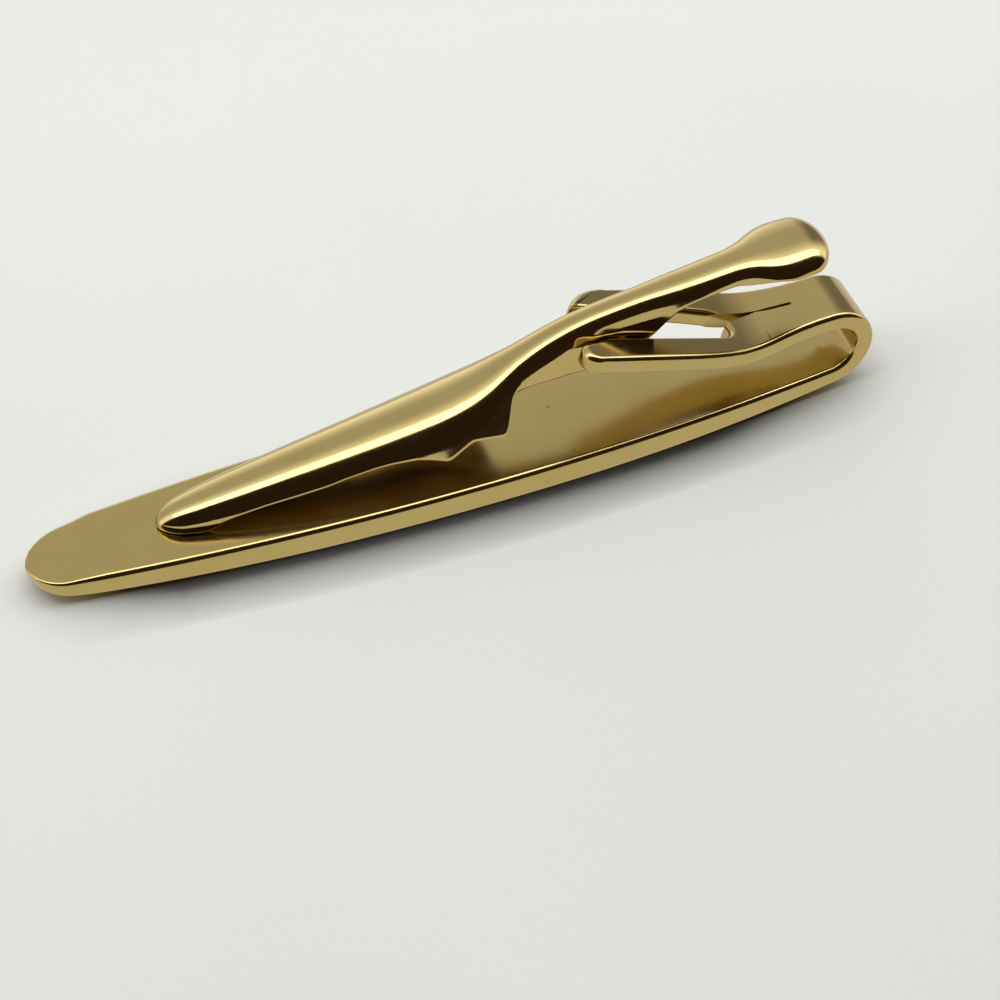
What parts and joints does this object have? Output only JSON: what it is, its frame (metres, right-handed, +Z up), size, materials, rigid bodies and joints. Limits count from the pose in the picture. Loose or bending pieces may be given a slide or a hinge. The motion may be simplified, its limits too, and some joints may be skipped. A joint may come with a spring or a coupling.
{
  "type": "tie clip",
  "caption": "Slim tie clip: a tapered bar folded back into a forked spring tongue that carries a pivoting lever with a long clamping jaw and a thumb paddle.",
  "frame": {"origin": "under the middle of the bar, on the surface that the bowed front face rests on", "axes": "+X along the bar towards the fold, +Y across the bar, +Z up from the front face towards the lever"},
  "size_m": [0.055, 0.008, 0.0122],
  "materials": {
    "strip": "polished",
    "lever": "polished",
    "pin": "plain drawn wire"
  },
  "bodies": {
    "bar": {"front_bar": "strip"},
    "lever": {"clip_lever": "lever", "hinge_pin": "pin"}
  },
  "joints": [
    {"name": "lever_hinge", "type": "hinge", "parent": "bar", "child": "lever", "pos_m": [0.01034, 0, 0.00819], "axis": [0, 1, 0], "range_deg": [0, 15], "stiffness_Nm_per_rad": 0.15, "springref_deg": -5.73}
  ]
}
